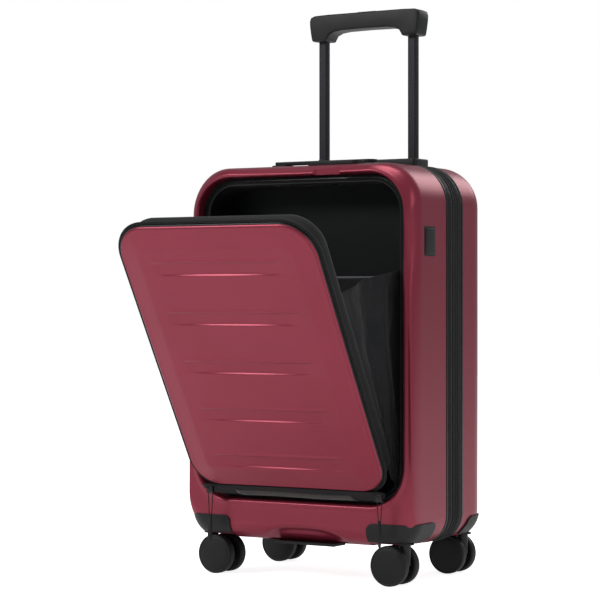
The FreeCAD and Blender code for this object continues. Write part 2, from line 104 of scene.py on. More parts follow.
def makeMesh(name, points, faces, material, body, smooth=True):
    mesh = bpy.data.meshes.new(name)
    mesh.from_pydata([tuple(p) for p in points], [], [tuple(f) for f in faces])
    mesh.validate()
    tidy = bmesh.new()
    tidy.from_mesh(mesh)
    bmesh.ops.recalc_face_normals(tidy, faces=tidy.faces)
    tidy.to_mesh(mesh)
    tidy.free()
    obj = bpy.data.objects.new(name, mesh)
    bpy.context.scene.collection.objects.link(obj)
    for face in mesh.polygons:
        face.use_smooth = smooth
    mesh.materials.append(material)
    if body:
        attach(obj, body)
    return obj


def applyModifier(obj, kind, settings):
    modifier = obj.modifiers.new(kind.title(), kind)
    for key, value in settings.items():
        setattr(modifier, key, value)
    graph = bpy.context.evaluated_depsgraph_get()
    graph.update()
    result = bpy.data.meshes.new_from_object(obj.evaluated_get(graph))
    obj.modifiers.clear()
    old = obj.data
    obj.data = result
    bpy.data.meshes.remove(old)


def sharpen(obj, degrees=38):
    obj.data.shade_smooth()
    obj.data.set_sharp_from_angle(angle=math.radians(degrees))


def gridFaces(rows, columns):
    # quads between rows + 1 lines of columns + 1 points
    n = columns + 1
    return [(i * n + j, i * n + j + 1, (i + 1) * n + j + 1, (i + 1) * n + j)
            for i in range(rows) for j in range(columns)]


def ringFaces(n, rows, count=None):
    # quads between rings of n points; with a count the last ring joins the first
    total = count or rows + 1
    return [(i * n + k, i * n + (k + 1) % n, (i + 1) % total * n + (k + 1) % n, (i + 1) % total * n + k)
            for i in range(rows) for k in range(n)]


def thicken(obj, thickness):
    applyModifier(obj, "SOLIDIFY", {"thickness": thickness * mm, "offset": 0.0})
    obj.data.shade_smooth()


def outline(shape, inset=0.0, cornerSteps=16, runSteps=(64, 18)):
    half, low, high, top, bottom = shape
    half, low, high = half - inset, low + inset, high - inset
    top, bottom = max(top - inset, 0.4 * mm), max(bottom - inset, 0.4 * mm)
    corners = [(half - bottom, low + bottom, bottom, -90), (half - top, high - top, top, 0),
               (-half + top, high - top, top, 90), (-half + bottom, low + bottom, bottom, 180)]
    points = []
    for i, (cx, cz, radius, start) in enumerate(corners):
        for k in range(cornerSteps + 1):
            a = math.radians(start + 90 * k / cornerSteps)
            points.append((cx + radius * math.cos(a), cz + radius * math.sin(a)))
        nx, nz, nr, ns = corners[(i + 1) % 4]
        a = math.radians(ns)
        end = (nx + nr * math.cos(a), nz + nr * math.sin(a))
        steps = runSteps[(i + 1) % 2]
        here = points[-1]
        for k in range(1, steps):
            points.append(tuple(a + (b - a) * k / steps for a, b in zip(here, end)))
    return np.array(points)


def ringAt(points, y):
    return np.column_stack([points[:, 0], np.full(len(points), y) if np.isscalar(y) else y, points[:, 1]])


def loft(name, rings, material, body, closed=False):
    rings = [np.asarray(r) for r in rings]
    rows = len(rings) if closed else len(rings) - 1
    faces = ringFaces(len(rings[0]), rows, len(rings) if closed else None)
    return makeMesh(name, np.vstack(rings), faces, material, body)


def bandLoft(name, shape, profile, material, body):
    rings = [ringAt(outline(shape, i * mm), y * mm) for i, y in profile]
    return loft(name, rings, material, body, closed=True)


def roundProfile(inset, y, insetRadius, yRadius, steps=10):
    turns = [2 * math.pi * k / steps for k in range(steps)]
    return [(inset + insetRadius * math.cos(a), y + yRadius * math.sin(a)) for a in turns]


def edgeDistance(x, z, shape):
    half, low, high, top, bottom = shape
    middle = (low + high) / 2
    radius = np.where(z > middle, top, bottom)
    dx = np.abs(x) - (half - radius)
    dz = np.abs(z - middle) - ((high - low) / 2 - radius)
    outside = np.hypot(np.maximum(dx, 0), np.maximum(dz, 0))
    return radius - outside - np.minimum(np.maximum(dx, dz), 0)


def halfWidthAt(z, shape):
    half, low, high, top, bottom = shape
    up = np.clip(z - (high - top), 0, top)
    down = np.clip((low + bottom) - z, 0, bottom)
    cut = np.where(up > 0, top - np.sqrt(np.maximum(top ** 2 - up ** 2, 0)), 0)
    return half - cut - np.where(down > 0, bottom - np.sqrt(np.maximum(bottom ** 2 - down ** 2, 0)), 0)


def gridPatch(shape, columns, heights):
    z = np.repeat(np.asarray(heights)[:, None], columns, 1)
    u = np.repeat(np.sin(np.linspace(-1, 1, columns) * math.pi / 2)[None, :], len(heights), 0)
    x = u * halfWidthAt(z, shape)
    return x, z, gridFaces(len(heights) - 1, columns - 1)


def patchBorder(rows, columns):
    low = [j for j in range(columns)]
    right = [i * columns + columns - 1 for i in range(1, rows)]
    high = [(rows - 1) * columns + j for j in range(columns - 2, -1, -1)]
    left = [i * columns for i in range(rows - 2, 0, -1)]
    return low + right + high + left


def roughen(points, scale, amount, seed=0.0):
    out = []
    for p in points:
        place = Vector((p[0] * scale + seed, p[1] * scale, p[2] * scale))
        out.append(noise.noise(place) * amount)
    return np.array(out)


def walk(points, pitch):
    closed = np.vstack([points, points[:1]])
    step = np.hypot(*np.diff(closed, axis=0).T)
    reach = np.concatenate([[0], np.cumsum(step)])
    count = int(reach[-1] / pitch)
    where = np.arange(count) * reach[-1] / count
    x = np.interp(where, reach, closed[:, 0])
    z = np.interp(where, reach, closed[:, 1])
    ahead = (where + 0.5 * pitch) % reach[-1]
    tx = np.interp(ahead, reach, closed[:, 0]) - x
    tz = np.interp(ahead, reach, closed[:, 1]) - z
    size = np.hypot(tx, tz)
    return x, z, tx / size, tz / size


def teeth(name, points, y, size, pitch, material, body):
    along, across, high = [s * mm for s in size]
    x, z, tx, tz = walk(points, pitch * mm)
    verts, faces = [], []
    for i in range(len(x)):
        tangent = Vector((tx[i], 0, tz[i]))
        out = Vector((tz[i], 0, -tx[i]))
        centre = Vector((x[i], y * mm, z[i]))
        start = len(verts)
        for a, b, c in ((-1, -1, -1), (1, -1, -1), (1, 1, -1), (-1, 1, -1),
                        (-1, -1, 1), (1, -1, 1), (1, 1, 1), (-1, 1, 1)):
            taper = 0.72 if c > 0 else 1.0
            verts.append(centre + tangent * a * along / 2 * taper + Vector((0, b * across / 2 * taper, 0))
                         + out * c * high / 2)
        faces += [tuple(start + k for k in f) for f in ((0, 3, 2, 1), (4, 5, 6, 7), (0, 1, 5, 4),
                                                        (1, 2, 6, 5), (2, 3, 7, 6), (3, 0, 4, 7))]
    return makeMesh(name, verts, faces, material, body, smooth=False)


def lathe(name, profile, centre, axis, material, body, steps=64):
    axis = Vector(axis).normalized()
    side = axis.orthogonal().normalized()
    other = axis.cross(side)
    verts = []
    for radius, reach in profile:
        for k in range(steps):
            a = 2 * math.pi * k / steps
            verts.append(Vector(centre) + axis * reach * mm
                         + (side * math.cos(a) + other * math.sin(a)) * max(radius, 0.01) * mm)
    faces = ringFaces(steps, len(profile) - 1)
    faces.append(tuple(range(steps))[::-1])
    faces.append(tuple((len(profile) - 1) * steps + k for k in range(steps)))
    return makeMesh(name, verts, faces, material, body)


def softened(node, body, material, width, segments=3):
    source = nodes[node]
    mesh = source.data.copy()
    mesh.materials.clear()
    obj = bpy.data.objects.new(node + "Body", mesh)
    bpy.context.scene.collection.objects.link(obj)
    clean = bmesh.new()
    clean.from_mesh(mesh)
    bmesh.ops.remove_doubles(clean, verts=clean.verts, dist=0.01 * mm)
    bmesh.ops.dissolve_limit(clean, angle_limit=math.radians(2), verts=clean.verts, edges=clean.edges)
    clean.to_mesh(mesh)
    clean.free()
    mesh.materials.append(material)
    applyModifier(obj, "BEVEL", {"width": width * mm, "segments": segments, "limit_method": "ANGLE",
                                 "angle_limit": math.radians(35), "use_clamp_overlap": True,
                                 "harden_normals": False})
    sharpen(obj, 40)
    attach(obj, body)
    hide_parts(node)
    return obj


def cutWith(obj, cutters):
    for cutter in cutters:
        applyModifier(obj, "BOOLEAN", {"operation": "DIFFERENCE", "object": cutter, "solver": "EXACT"})
        bpy.data.objects.remove(cutter)


def roundedBox(low, high, radius, segments=4):
    box = bmesh.new()
    bmesh.ops.create_cube(box, size=1.0)
    for v in box.verts:
        for k in range(3):
            v.co[k] = (high[k] if v.co[k] > 0 else low[k]) * mm
    if radius:
        bmesh.ops.bevel(box, geom=list(box.edges), offset=radius * mm, segments=segments,
                        profile=0.5, affect="EDGES", clamp_overlap=True)
    mesh = bpy.data.meshes.new("cutter")
    box.to_mesh(mesh)
    box.free()
    obj = bpy.data.objects.new("cutter", mesh)
    bpy.context.scene.collection.objects.link(obj)
    return obj


def boxPiece(name, low, high, radius, material, body, segments=4):
    obj = roundedBox(low, high, radius, segments)
    obj.name = name
    obj.data.name = name
    obj.data.materials.append(material)
    sharpen(obj, 50)
    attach(obj, body)
    return obj


def tubeCurve(name, points, radius, material, body):
    curve = bpy.data.curves.new(name, "CURVE")
    curve.dimensions = "3D"
    curve.bevel_depth = radius * mm
    curve.bevel_resolution = 4
    curve.use_fill_caps = True
    spline = curve.splines.new("NURBS")
    spline.points.add(len(points) - 1)
    for point, place in zip(spline.points, points):
        point.co = (*place, 1)
    spline.order_u = 3
    spline.use_endpoint_u = True
    spline.resolution_u = 8
    obj = bpy.data.objects.new(name, curve)
    bpy.context.scene.collection.objects.link(obj)
    curve.materials.append(material)
    if body:
        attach(obj, body)
    return obj


# materials

def shellPolycarbonate():
    # moulded polycarbonate with a metallic film: satin, wide highlights and a hammered grain of about 1 mm
    material, tree, place = startMaterial("mouldedPolycarbonate")
    grain = add(tree, "ShaderNodeTexNoise", {"Scale": 900.0, "Detail": 3.0}, {"Vector": place})
    cloud = add(tree, "ShaderNodeTexNoise", {"Scale": 9.0, "Detail": 2.0}, {"Vector": place})
    tint = tinted(tree, cloud.outputs["Fac"], "#842638", "#8E2B40")
    rough = add(tree, "ShaderNodeMapRange", {"To Min": 0.30, "To Max": 0.37}, {"Value": grain.outputs["Fac"]})
    bump = add(tree, "ShaderNodeBump", {"Strength": 0.06, "Distance": 0.0004},
               {"Height": grain.outputs["Fac"]})
    finishMaterial(tree, {"Metallic": 0.5, "Coat Weight": 0.1, "Coat Roughness": 0.28},
                   {"Base Color": tint, "Roughness": rough.outputs["Result"],
                    "Normal": bump.outputs["Normal"]})
    return material


def mouldedPlastic(name, hexColour, hexOther, roughness, grainScale=1400.0):
    # injection moulded ABS or nylon: even black with a spark-eroded satin grain
    material, tree, place = startMaterial(name)
    grain = add(tree, "ShaderNodeTexNoise", {"Scale": grainScale, "Detail": 2.0}, {"Vector": place})
    cloud = add(tree, "ShaderNodeTexNoise", {"Scale": 30.0, "Detail": 3.0}, {"Vector": place})
    tint = tinted(tree, cloud.outputs["Fac"], hexColour, hexOther)
    rough = add(tree, "ShaderNodeMapRange", {"To Min": roughness - 0.05, "To Max": roughness + 0.07},
                {"Value": cloud.outputs["Fac"]})
    bump = add(tree, "ShaderNodeBump", {"Strength": 0.12, "Distance": 0.0002},
               {"Height": grain.outputs["Fac"]})
    finishMaterial(tree, {"Specular IOR Level": 0.32},
                   {"Base Color": tint, "Roughness": rough.outputs["Result"],
                    "Normal": bump.outputs["Normal"]})
    return material


def wovenFabric(name, hexColour, hexOther, threadSpacing, roughness, sheen, wrinkle=0.0):
    # plain weave of polyester yarn: two crossed thread directions with a soft sheen
    material, tree, place = startMaterial(name)
    scale = 0.314 / (threadSpacing * mm)  # a band texture repeats every 0.314 / scale metres
    turned = add(tree, "ShaderNodeMapping", {"Rotation": (0.0, 0.0, math.radians(35))}, {"Vector": place})
    warp = add(tree, "ShaderNodeTexWave", {"bands_direction": "X", "Scale": scale, "Distortion": 0.6},
               {"Vector": turned.outputs["Vector"]})
    weft = add(tree, "ShaderNodeTexWave", {"bands_direction": "Z", "Scale": scale, "Distortion": 0.6},
               {"Vector": place})
    weave = add(tree, "ShaderNodeMath", {"operation": "MULTIPLY"},
                {0: warp.outputs["Fac"], 1: weft.outputs["Fac"]})
    crease = add(tree, "ShaderNodeTexNoise", {"Scale": 38.0, "Detail": 4.0, "Distortion": 0.8},
                 {"Vector": place})
    height = add(tree, "ShaderNodeMath", {"operation": "MULTIPLY_ADD", 1: wrinkle},
                 {0: crease.outputs["Fac"], 2: weave.outputs["Value"]})
    tint = tinted(tree, weave.outputs["Value"], hexColour, hexOther)
    bump = add(tree, "ShaderNodeBump", {"Strength": 0.5, "Distance": 0.0005},
               {"Height": height.outputs["Value"]})
    finishMaterial(tree, {"Roughness": roughness, "Sheen Weight": sheen, "Sheen Roughness": 0.4,
                          "Specular IOR Level": 0.25},
                   {"Base Color": tint, "Normal": bump.outputs["Normal"]})
    return material


def anodisedAluminium():
    # black anodised aluminium tube: drawn lengthwise, so fine lines run up it
    material, tree, place = startMaterial("anodisedAluminium")
    stretched = add(tree, "ShaderNodeMapping", {"Scale": (2500.0, 2500.0, 12.0)}, {"Vector": place})
    lines = add(tree, "ShaderNodeTexNoise", {"Scale": 1.0, "Detail": 3.0},
                {"Vector": stretched.outputs["Vector"]})
    rough = add(tree, "ShaderNodeMapRange", {"To Min": 0.3, "To Max": 0.46}, {"Value": lines.outputs["Fac"]})
    tint = tinted(tree, lines.outputs["Fac"], "#2A2A2C", "#38383B")
    finishMaterial(tree, {"Metallic": 0.85}, {"Base Color": tint,
                                              "Roughness": rough.outputs["Result"]})
    return material


def platedZinc():
    # die-cast zinc slider with a black electroplate: small, smooth and shiny
    material, tree, place = startMaterial("platedZinc")
    cloud = add(tree, "ShaderNodeTexNoise", {"Scale": 180.0, "Detail": 3.0}, {"Vector": place})
    tint = tinted(tree, cloud.outputs["Fac"], "#262628", "#3A3A3D")
    rough = add(tree, "ShaderNodeMapRange", {"To Min": 0.22, "To Max": 0.36}, {"Value": cloud.outputs["Fac"]})
    finishMaterial(tree, {"Metallic": 0.9}, {"Base Color": tint,
                                             "Roughness": rough.outputs["Result"]})
    return material


polycarbonate = shellPolycarbonate()
satinAbs = mouldedPlastic("mouldedAbs", "#101011", "#161617", 0.44)
glossNylon = mouldedPlastic("mouldedNylon", "#0D0D0E", "#131314", 0.22)
softTpu = mouldedPlastic("mouldedTpu", "#0F0F10", "#151516", 0.5)
polyurethane = mouldedPlastic("castPolyurethane", "#101011", "#161617", 0.5)
bandCloth = wovenFabric("wovenPolyester", "#0A0A0B", "#131315", 1.4, 0.7, 0.1)
liningCloth = wovenFabric("wovenLining", "#050709", "#0B0E13", 1.0, 0.55, 0.05, 1.5)
gussetCloth = wovenFabric("wovenOxford", "#0A0B0D", "#141519", 1.2, 0.6, 0.1, 1.2)
tapeCloth = wovenFabric("wovenZipTape", "#090909", "#101011", 0.9, 0.7, 0.1)
greyTape = wovenFabric("ribbedTape", "#2A2726", "#37332F", 1.6, 0.6, 0.3)
lightTape = wovenFabric("ribbedBinding", "#5E5E60", "#77777A", 1.2, 0.55, 0.3)
cordBraid = wovenFabric("braidedPolyester", "#0B0B0C", "#1A1A1C", 0.8, 0.7, 0.2)
coilNylon = mouldedPlastic("drawnNylon", "#1E1E20", "#2C2C2F", 0.32)
tubeMetal = anodisedAluminium()
sliderMetal = platedZinc()
print("stage: materials")

# sizes that the whole case shares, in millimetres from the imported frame
shellLow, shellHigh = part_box("front_shell")
case = (0.175, 0.050, 0.550, 0.055, 0.038)
pocket = (0.159, 0.104, 0.536, 0.050, 0.050)
frontPlane = shellLow[1]
frontBack = shellHigh[1]
ledge = frontPlane + 16 * mm
wall = 2.5 * mm
frontRound = 25 * mm


def frontShell():
    look = {"beadWidth": 10.0, "frontRows": 22, "holeInset": 8.0}
    outer = outline(case)
    rim = outline(pocket, -look["beadWidth"] * mm)
    across = rim - outer
    width = np.hypot(across[:, 0], across[:, 1])
    rings = [ringAt(outer, y) for y in np.linspace(frontBack, frontPlane + frontRound, 10)]
    arc = frontRound * math.pi / 2

    def surface(distance):
        turn = np.arccos(np.clip(1 - distance / frontRound, 0, 1))
        return np.where(distance < frontRound, frontPlane + frontRound * (1 - np.sin(turn)), frontPlane)

    fullTurn = np.arccos(np.clip(1 - np.minimum(width, frontRound) / frontRound, 0, 1))
    length = frontRound * fullTurn + np.maximum(width - frontRound, 0)
    for k in range(1, look["frontRows"] + 1):
        run = length * k / look["frontRows"]
        distance = np.where(run < arc, frontRound * (1 - np.cos(np.minimum(run / frontRound, math.pi / 2))),
                            frontRound + run - arc)
        place = outer + across * (distance / width)[:, None]
        rings.append(ringAt(place, surface(distance)))
    bead = [(8.6, 0.15), (7.4, 0.55), (6.2, 0.95), (5.0, 1.2), (4.0, 1.3),
            (3.0, 1.1), (2.0, 0.5), (1.0, -0.6), (0.3, -2.0), (0.0, -3.6)]
    for outside, rise in bead:
        place = outline(pocket, -outside * mm)
        base = surface(width + (look["beadWidth"] - outside) * mm)
        rings.append(ringAt(place, base - rise * mm))
    top = rings[-1][:, 1]
    for part in (0.35, 0.7, 0.92):
        rings.append(ringAt(outline(pocket, 0), top + (ledge - 1.5 * mm - top) * part))
    rings.append(ringAt(outline(pocket, 0.5 * mm), ledge - 0.5 * mm))
    rings.append(ringAt(outline(pocket, 1.6 * mm), ledge))
    rings.append(ringAt(outline(pocket, look["holeInset"] * mm), ledge))
    rings.append(ringAt(outline(pocket, look["holeInset"] * mm), ledge + wall))
    inner = outline(case, wall)
    rings.append(ringAt(inner, ledge + wall))
    rings.append(ringAt(inner, frontBack))
    shell = loft("frontShellSkin", rings, polycarbonate, None, closed=True)
    shape = shell.data
    for v in shape.vertices:
        x, y, z = v.co
        reach = abs(x - 6 * mm) / (66 * mm)
        if y < frontPlane + 22 * mm and z < 80 * mm and reach < 1.15:
            arch = 72 * mm - 17 * mm * reach ** 3.2
            t = min(1.0, max(0.0, (arch - z) / (7 * mm)))
            v.co.y += 6.5 * mm * t * t * (3 - 2 * t) * min(1.0, max(0.0, (1.15 - reach) / 0.3))
    cutters = []
    for side in (-1, 1):
        low, high = sorted((side * 104, side * 190))
        cutters.append(roundedBox((low, -130, 30), (high, -34, 54.4), 0))
        cutters.append(roundedBox((side * 66.5 - 2.8, -36.3, 540), (side * 66.5 + 2.8, -23.7, 560), 0))
    cutters.append(roundedBox((23, -120, 533), (64, -97.2, 570), 2.0))
    cutters.append(roundedBox((165, -74, 428), (185, -44, 467), 2.0))
    cutters.append(roundedBox((29.7, -75.8, 540), (67.3, -57.2, 560), 0))
    cutWith(shell, cutters)
    sharpen(shell, 40)
    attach(shell, "front_half")
    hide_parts("front_shell")


def grooveDepth(x, z, look):
    depth = np.zeros_like(x)
    along = np.clip(1 - (x / (look["half"] * mm)) ** 2, 0, 1)
    fade = np.clip(along * 2.6, 0, 1)
    fade = fade * fade * (3 - 2 * fade)
    for i in range(look["count"]):
        top = (look["first"] + look["pitch"] * i + look["height"]) * mm
        below = (top - z) / mm
        upper = np.clip(below / 1.3, 0, 1)
        lower = np.clip((look["height"] + 1.3 - below) / 3.3, 0, 1)
        lower = lower * lower * (3 - 2 * lower)
        floor = 0.62 + 0.38 * np.clip(below / look["height"], 0, 1)
        depth += look["depth"] * mm * (0.25 + 0.75 * along) * fade * upper * lower * floor
        depth -= 1.25 * mm * fade * np.exp(-((below + 1.7) / 1.8) ** 2)
    return depth


def rearShell():
    look = {"round": 44.0, "rows": 18}
    low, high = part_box("rear_shell")
    radius = look["round"] * mm
    rings = [ringAt(outline(case), y) for y in np.linspace(low[1], high[1] - radius, 6)]
    for k in range(1, look["rows"] + 1):
        a = math.pi / 2 * k / look["rows"]
        inset = radius * (1 - math.cos(a))
        rings.append(ringAt(outline(case, inset), high[1] - radius * (1 - math.sin(a))))
    outerCount = len(rings)
    rings.append(ringAt(outline(case, radius + 1 * mm), high[1] - wall))
    for k in range(look["rows"], -1, -1):
        a = math.pi / 2 * k / look["rows"]
        inner = radius - wall
        rings.append(ringAt(outline(case, wall + inner * (1 - math.cos(a))),
                            high[1] - wall - inner * (1 - math.sin(a))))
    rings.append(ringAt(outline(case, wall), low[1]))
    border = rings[outerCount - 1]
    n = len(border)
    points = np.vstack(rings)
    faces = []
    for i in range(len(rings)):
        if i == outerCount - 1 or i == outerCount:
            continue
        a, b = i * n, ((i + 1) % len(rings)) * n
        faces += [(a + j, a + (j + 1) % n, b + (j + 1) % n, b + j) for j in range(n)]
    faces.append(tuple((outerCount - 1) * n + j for j in range(n)))
    faces.append(tuple((outerCount + 1) * n + j for j in range(n))[::-1])
    shell = makeMesh("rearShellSkin", points, faces, polycarbonate, None)
    removeLoose(shell)
    cutters = []
    for side in (-1, 1):
        a, b = sorted((side * 104, side * 190))
        cutters.append(roundedBox((a, 34.3, 30), (b, 130, 54.4), 0))
    cutWith(shell, cutters)
    sharpen(shell, 40)
    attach(shell, "rear_half")
    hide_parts("rear_shell")


def removeLoose(obj):
    work = bmesh.new()
    work.from_mesh(obj.data)
    bmesh.ops.delete(work, geom=[v for v in work.verts if not v.link_faces], context="VERTS")
    bmesh.ops.recalc_face_normals(work, faces=work.faces)
    work.to_mesh(obj.data)
    work.free()


# lid, drawn closed and turned open about its hinge
lidHinge = [j for j in frame["joints"] if j["name"] == "lid_hinge"][0]
lidTurn = math.radians(30)
lidPlace = (Matrix.Translation(lidHinge["pos_m"]) @ Matrix.Rotation(lidTurn, 4, "X")
            @ Matrix.Translation([-c for c in lidHinge["pos_m"]]))
lidShape = (0.147, 0.1343, 0.5263, 0.045, 0.038)
lidFace = -103.7 * mm


def openLid(obj):
    obj.data.transform(lidPlace)
    obj.data.update()


def lidPanel():
    look = {"bevel": 23.0, "bevelDrop": 4.4, "roll": 8.0, "rollDrop": 4.4, "columns": 170, "rows": 260}
    grooves = {"first": 34.3 + 134.3, "pitch": 72.6, "count": 5, "half": 104.0, "height": 18.0, "depth": 2.7}
    span = lidShape[2] - lidShape[1]
    extra = [grooves["first"] + grooves["pitch"] * i + d for i in range(grooves["count"])
             for d in (-3.5, -2.5, -1.8, -1.1, -0.5, 0.2, 0.8, 1.5, 2.2, 16.4, 16.8, 17.2, 17.6, 18.0, 18.4)]
    heights = np.unique(np.round(np.concatenate([
        lidShape[1] + span * np.linspace(0, 1, look["rows"]), np.array(extra) * mm,
        lidShape[1] + 12 * mm * np.linspace(0, 1, 16) ** 2,
        lidShape[2] - 12 * mm * np.linspace(0, 1, 16) ** 2]), 6))
    x, z, faces = gridPatch(lidShape, look["columns"], heights)
    distance = edgeDistance(x, z, lidShape)
    t = np.clip((look["bevel"] + look["roll"] - distance / mm) / look["bevel"], 0, 1)
    u = np.clip((look["roll"] - distance / mm) / look["roll"], 0, 1)
    drop = look["bevelDrop"] * (np.sqrt(t * t + 0.003) - 0.0548)
    drop = drop + look["rollDrop"] * (1 - np.sqrt(1 - u * u * 0.999))
    y = lidFace + drop * mm * 8.0 / 8.5 + grooveDepth(x, z, grooves)
    rows = len(heights)
    front = np.column_stack([x.ravel(), y.ravel(), z.ravel()])
    border = patchBorder(rows, look["columns"])
    n = len(border)
    points = [front]
    start = len(front)
    loops = [border]
    centre = np.array([0, 0, (lidShape[1] + lidShape[2]) / 2])
    edge = front[border]
    scale = np.array([1, 0, 1])
    for shrink, back in ((0.0, 8.6), (0.5, 9.2), (2.2, 9.4), (2.8, 8.6), (3.0, 4.4)):
        pull = (edge - centre) * scale
        ring = edge - pull * (shrink * mm / np.linalg.norm(pull, axis=1))[:, None]
        ring[:, 1] = lidFace + back * mm
        points.append(ring)
        loops.append(list(range(start, start + n)))
        start += n
    for a, b in zip(loops[:-1], loops[1:]):
        faces += [(a[j], a[(j + 1) % n], b[(j + 1) % n], b[j]) for j in range(n)]
    faces.append(tuple(loops[-1]))
    panel = makeMesh("lidSkin", np.vstack(points), faces, polycarbonate, None)
    openLid(panel)
    sharpen(panel, 45)
    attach(panel, "lid")
    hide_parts("lid_panel")


def lidRim():
    look = {"piping": 1.5, "flare": 4.2, "deep": 30.0}
    edge = lidFace / mm + 8
    deep = edge + look["deep"]
    pipingRound = roundProfile(0.0, edge + 0.9, look["piping"], look["piping"], 12)
    piping = bandLoft("lidPiping", lidShape, pipingRound, glossNylon, None)
    tape = bandLoft("lidZipTape", lidShape, [(2.0, edge + 1.6), (-1.0, edge + 2.2), (-4.0, edge + 3.0),
                                             (-4.0, edge + 3.8), (-1.0, edge + 3.4), (2.0, edge + 3.0)],
                    tapeCloth, None)
    coilRound = roundProfile(0.5 - look["flare"], edge + 2.6, 1.7, 1.3, 12)
    coil = bandLoft("lidCoilCover", lidShape, coilRound, bandCloth, None)
    combed = teeth("lidCoil", outline(lidShape, -1.6 * mm), edge + 2.2, (0.8, 1.2, 2.6), 1.6, coilNylon, None)
    fabric = [(3.0, edge + 2.6), (1.9, edge + 5), (1.5, edge + 8), (1.4, edge + 12),
              (1.9, edge + 15.0), (1.5, edge + 18), (1.6, deep - 6), (2.0, deep - 3),
              (2.8, deep - 0.6), (4.8, deep), (6.2, deep - 2), (6.2, edge + 2.6)]
    band = bandLoft("lidRimBand", lidShape, fabric, bandCloth, None)
    for obj in (piping, band, tape, coil, combed):
        openLid(obj)
        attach(obj, "lid")
    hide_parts("lid_rim")
    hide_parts("lid_zip")
    inside = (0.1405, 0.1408, 0.5198, 0.0385, 0.0315)
    lining = fabricPatch("lidLiningCloth", inside, lidFace + 10 * mm, 1.6, 60, 80, 3.0)
    openLid(lining)
    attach(lining, "lid")
    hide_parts("lid_lining")


def fabricPatch(name, shape, y, amount, columns, rows, seed):
    x, z, faces = gridPatch(shape, columns, np.linspace(shape[1], shape[2], rows))
    points = np.column_stack([x.ravel(), np.full(x.size, y), z.ravel()])
    edge = np.clip(edgeDistance(points[:, 0], points[:, 2], shape) / (12 * mm), 0, 1)
    points[:, 1] += roughen(points, 14.0, amount * mm, seed) * edge
    points[:, 1] += roughen(points * np.array([1, 1, 0.4]), 45.0, amount * 0.4 * mm, seed + 9) * edge
    obj = makeMesh(name, points, faces, liningCloth, None)
    thicken(obj, 1.0)
    return obj


def zipBand():
    sizes = {"front": -14.0, "back": 34.0, "trim": 6.0}
    first, last, trim = sizes["front"], sizes["back"], sizes["trim"]

    def trimRing(name, y0, y1, body, node):
        profile = [(3.4, y0), (0.4, y0), (-0.5, y0 + 1.0), (-0.8, y0 + 2.4),
                   (-0.8, y1 - 2.4), (-0.5, y1 - 1.0), (0.4, y1), (3.4, y1)]
        ring = bandLoft(name, case, profile, glossNylon, body)
        sharpen(ring, 50)
        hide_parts(node)

    trimRing("frontTrimRing", first, first + trim, "front_half", "front_trim")
    trimRing("rearTrimRing", last - trim, last, "rear_half", "rear_trim")

    def tapeRing(name, y0, y1, body, node, dip=0.0):
        middle = (y0 + y1) / 2
        profile = [(3.0, y0), (0.5, y0), (0.3 + dip, middle), (0.5, y1), (3.0, y1)]
        ring = bandLoft(name, case, profile, tapeCloth, body)
        if node:
            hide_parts(node)

    tapeRing("mainZipFrontTape", first + trim, -2.3, "front_half", "main_zip_front")
    tapeRing("mainZipRearTape", -1.7, 4.0, "rear_half", "main_zip_rear")
    tapeRing("expanderZipTape", 22.0, 28.0, "rear_half", "expander_zip", 0.5)
    track = outline(case, 0.2 * mm)
    teeth("mainCoilFront", track, -3.4, (0.9, 2.2, 1.1), 1.7, coilNylon, "front_half")
    teeth("mainCoilRear", track, -0.6, (0.9, 2.2, 1.1), 1.7, coilNylon, "rear_half")
    teeth("expanderCoil", track, 25.0, (0.9, 3.6, 1.1), 1.7, coilNylon, "rear_half")
    fold = [(3.0, 4.0), (0.4, 4.0), (-0.5, 5.2), (-0.8, 7.0), (-0.3, 8.8), (0.8, 9.8),
            (1.0, 10.4), (0.0, 11.2), (-0.8, 13.0), (-0.3, 14.8), (0.8, 15.6), (1.0, 16.2),
            (0.0, 17.0), (-0.8, 18.8), (-0.4, 20.8), (0.6, 22.0), (3.0, 22.0)]
    gusset = bandLoft("expansionGussetCloth", case, fold, bandCloth, "rear_half")
    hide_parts("expansion_gusset")


def compartment():
    sizes = {"hole": 9.8, "back": -31.0, "piping": 1.4}
    front = ledge / mm
    rings = []
    for y in np.linspace(front - 0.4, sizes["back"], 26):
        place = outline(pocket, sizes["hole"] * mm)
        ring = ringAt(place, y * mm)
        push = roughen(ring * np.array([1, 1.6, 0.6]), 26.0, 1.3 * mm, 4.0) * min(1.0, (y - front) / 8.0)
        centre = np.array([0, 0, 0.32])
        away = (ring - centre) * np.array([1, 0, 1])
        ring = ring - away * ((np.abs(push)) / np.linalg.norm(away, axis=1))[:, None]
        rings.append(ring)
    tub = loft("compartmentWall", rings, liningCloth, None)
    thicken(tub, 0.6)
    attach(tub, "front_half")
    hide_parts("compartment_lining")
    shape = (0.1495, 0.1135, 0.5285, 0.040, 0.040)
    back = fabricPatch("compartmentBack", shape, sizes["back"] * mm, 2.6, 80, 110, 12.0)
    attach(back, "front_half")
    tape = bandLoft("openingTape", pocket, [(0.8, front - 0.4), (0.8, front - 1.4), (4.0, front - 2.0),
                                            (9.0, front - 2.2), (9.6, front - 1.2), (9.0, front - 0.3)],
                    tapeCloth, "front_half")
    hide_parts("opening_flange")
    coil = teeth("openingCoil", outline(pocket, 4.6 * mm), front - 2.6, (0.9, 2.4, 1.3), 1.7, coilNylon, None)
    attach(coil, "front_half")
    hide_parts("opening_zip")
    bandLoft("openingPiping", pocket, roundProfile(9.8, front - 1.4, sizes["piping"], sizes["piping"], 12),
             softTpu, "front_half")
    divider = fabricPatch("dividerCloth", (0.172, 0.053, 0.547, 0.052, 0.035), -16.0 * mm, 1.5, 70, 90, 21.0)
    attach(divider, "front_half")
    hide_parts("divider_panel")


